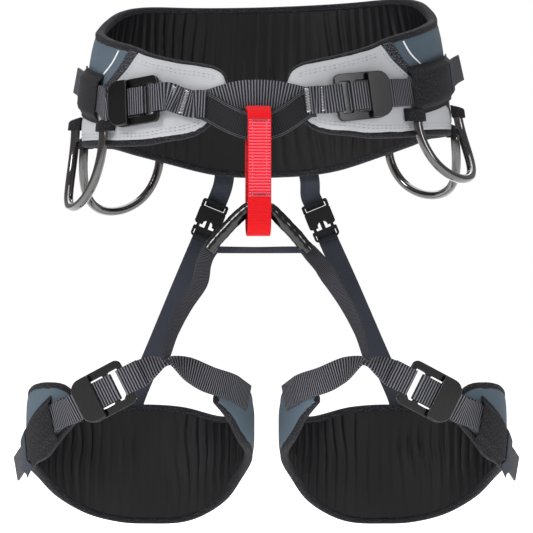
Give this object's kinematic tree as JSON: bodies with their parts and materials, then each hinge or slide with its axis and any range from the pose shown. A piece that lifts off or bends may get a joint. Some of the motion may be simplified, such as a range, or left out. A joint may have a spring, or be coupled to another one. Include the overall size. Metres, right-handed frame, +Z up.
{
  "type": "climbing harness",
  "caption": "Sit harness with a padded waist belt, two padded leg loops, double-back buckles, a belay loop and gear loops.",
  "frame": {"origin": "centre of the waist opening, level with the middle of the waist webbing", "axes": "+Z up along the wearer's body, -Y to the wearer's front, +X to the wearer's left"},
  "size_m": [0.3904, 0.2432, 0.4184],
  "materials": {
    "foam": "closed-cell foam core, hidden",
    "lining_mesh": "black wrinkled mesh",
    "slate_fabric": "slate blue woven shell fabric",
    "grey_fabric": "light grey woven panel",
    "seam_tape": "dark speckled tape",
    "striped_webbing": "dark grey flat webbing with lighter stripes",
    "dark_webbing": "near-black webbing",
    "red_webbing": "red ribbed webbing",
    "elastic": "dark slate flat elastic",
    "sleeve_plastic": "smooth black protective sleeve",
    "loop_tube": "smooth dark tube",
    "buckle_plastic": "moulded black plastic",
    "buckle_alloy": "black anodised"
  },
  "bodies": {
    "waist": {"leg_bridge_sleeve": "sleeve_plastic", "riser_plug_left": "buckle_plastic", "riser_plug_right": "buckle_plastic", "riser_socket_left": "buckle_plastic", "riser_socket_right": "buckle_plastic", "riser_upper_left": "elastic", "riser_upper_right": "elastic", "spreader_elastic": "elastic", "tie_in_bridge": "striped_webbing", "tie_in_strap": "dark_webbing", "waist_buckle_frame_left": "buckle_alloy", "waist_buckle_frame_right": "buckle_alloy", "waist_foam": "foam", "waist_keeper_left": "elastic", "waist_keeper_right": "elastic", "waist_lining": "lining_mesh", "waist_panel_left": "grey_fabric", "waist_panel_right": "grey_fabric", "waist_shell": "slate_fabric", "waist_sleeve_left": "dark_webbing", "waist_sleeve_right": "dark_webbing", "waist_tail_left": "striped_webbing", "waist_tail_right": "striped_webbing", "waist_tape_left": "seam_tape", "waist_tape_right": "seam_tape", "waist_webbing_left": "striped_webbing", "waist_webbing_right": "striped_webbing"},
    "leg_left": {"leg_foam_left": "foam", "leg_lining_left": "lining_mesh", "leg_shell_left": "slate_fabric", "leg_strap_left": "striped_webbing", "leg_riser_left": "striped_webbing", "leg_buckle_frame_left": "buckle_alloy", "leg_tail_left": "striped_webbing", "leg_keeper_left": "elastic", "leg_sleeve_left": "dark_webbing", "riser_lower_left": "elastic"},
    "leg_slider_left": {"leg_buckle_slider_left": "buckle_alloy"},
    "waist_slider_left": {"waist_buckle_slider_left": "buckle_alloy"},
    "gear_front_left": {"gear_loop_front_left": "loop_tube"},
    "gear_rear_left": {"gear_loop_rear_left": "loop_tube"},
    "leg_right": {"leg_foam_right": "foam", "leg_lining_right": "lining_mesh", "leg_shell_right": "slate_fabric", "leg_strap_right": "striped_webbing", "leg_riser_right": "striped_webbing", "leg_buckle_frame_right": "buckle_alloy", "leg_tail_right": "striped_webbing", "leg_keeper_right": "elastic", "leg_sleeve_right": "dark_webbing", "riser_lower_right": "elastic"},
    "leg_slider_right": {"leg_buckle_slider_right": "buckle_alloy"},
    "waist_slider_right": {"waist_buckle_slider_right": "buckle_alloy"},
    "gear_front_right": {"gear_loop_front_right": "loop_tube"},
    "gear_rear_right": {"gear_loop_rear_right": "loop_tube"},
    "belay": {"belay_loop": "red_webbing", "belay_loop_liner": "dark_webbing"}
  },
  "joints": [
    {"name": "leg_swing_left", "type": "hinge", "parent": "waist", "child": "leg_left", "pos_m": [0.0324, -0.1203, -0.1115], "axis": [1, 0, 0], "range_deg": [-18, 0], "stiffness_Nm_per_rad": 0.6, "springref_deg": 31.51, "deforming": ["riser_lower_left"]},
    {"name": "leg_swing_right", "type": "hinge", "parent": "waist", "child": "leg_right", "pos_m": [-0.0433, -0.1203, -0.1115], "axis": [1, 0, 0], "range_deg": [-18, 0], "stiffness_Nm_per_rad": 0.6, "springref_deg": 31.51, "deforming": ["riser_lower_right"]},
    {"name": "waist_slider_left_tilt", "type": "hinge", "parent": "waist", "child": "waist_slider_left", "pos_m": [0.07604, -0.10155, 0.00492], "axis": [0.1395, -0.0351, -0.9896], "range_deg": [0, 25]},
    {"name": "waist_slider_right_tilt", "type": "hinge", "parent": "waist", "child": "waist_slider_right", "pos_m": [-0.10337, -0.08542, 0.00039], "axis": [-0.0374, 0.1414, 0.9892], "range_deg": [0, 25]},
    {"name": "leg_slider_left_tilt", "type": "hinge", "parent": "leg_left", "child": "leg_slider_left", "pos_m": [0.12523, -0.08788, -0.21617], "axis": [-0.4473, -0.1161, -0.8868], "range_deg": [0, 25]},
    {"name": "leg_slider_right_tilt", "type": "hinge", "parent": "leg_right", "child": "leg_slider_right", "pos_m": [-0.12523, -0.08788, -0.21617], "axis": [-0.4473, 0.1161, 0.8868], "range_deg": [0, 25]},
    {"name": "gear_front_left_swing", "type": "hinge", "parent": "waist", "child": "gear_front_left", "pos_m": [0.12907, -0.04473, -0.00813], "axis": [-0.4879, -0.8686, -0.0863], "range_deg": [0, 40]},
    {"name": "gear_front_right_swing", "type": "hinge", "parent": "waist", "child": "gear_front_right", "pos_m": [-0.13439, -0.03173, -0.01603], "axis": [-0.3547, 0.9331, 0.0584], "range_deg": [0, 40]},
    {"name": "gear_rear_left_swing", "type": "hinge", "parent": "waist", "child": "gear_rear_left", "pos_m": [0.12243, 0.05383, -0.01983], "axis": [0.5867, -0.8087, 0.042], "range_deg": [0, 40]},
    {"name": "gear_rear_right_swing", "type": "hinge", "parent": "waist", "child": "gear_rear_right", "pos_m": [-0.11451, 0.06358, -0.02694], "axis": [0.6761, 0.7368, -0.0037], "range_deg": [0, 40]},
    {"name": "belay_lift", "type": "slide", "parent": "waist", "child": "belay", "axis": [0, 0, 1], "range_m": [0, 0.008]}
  ]
}
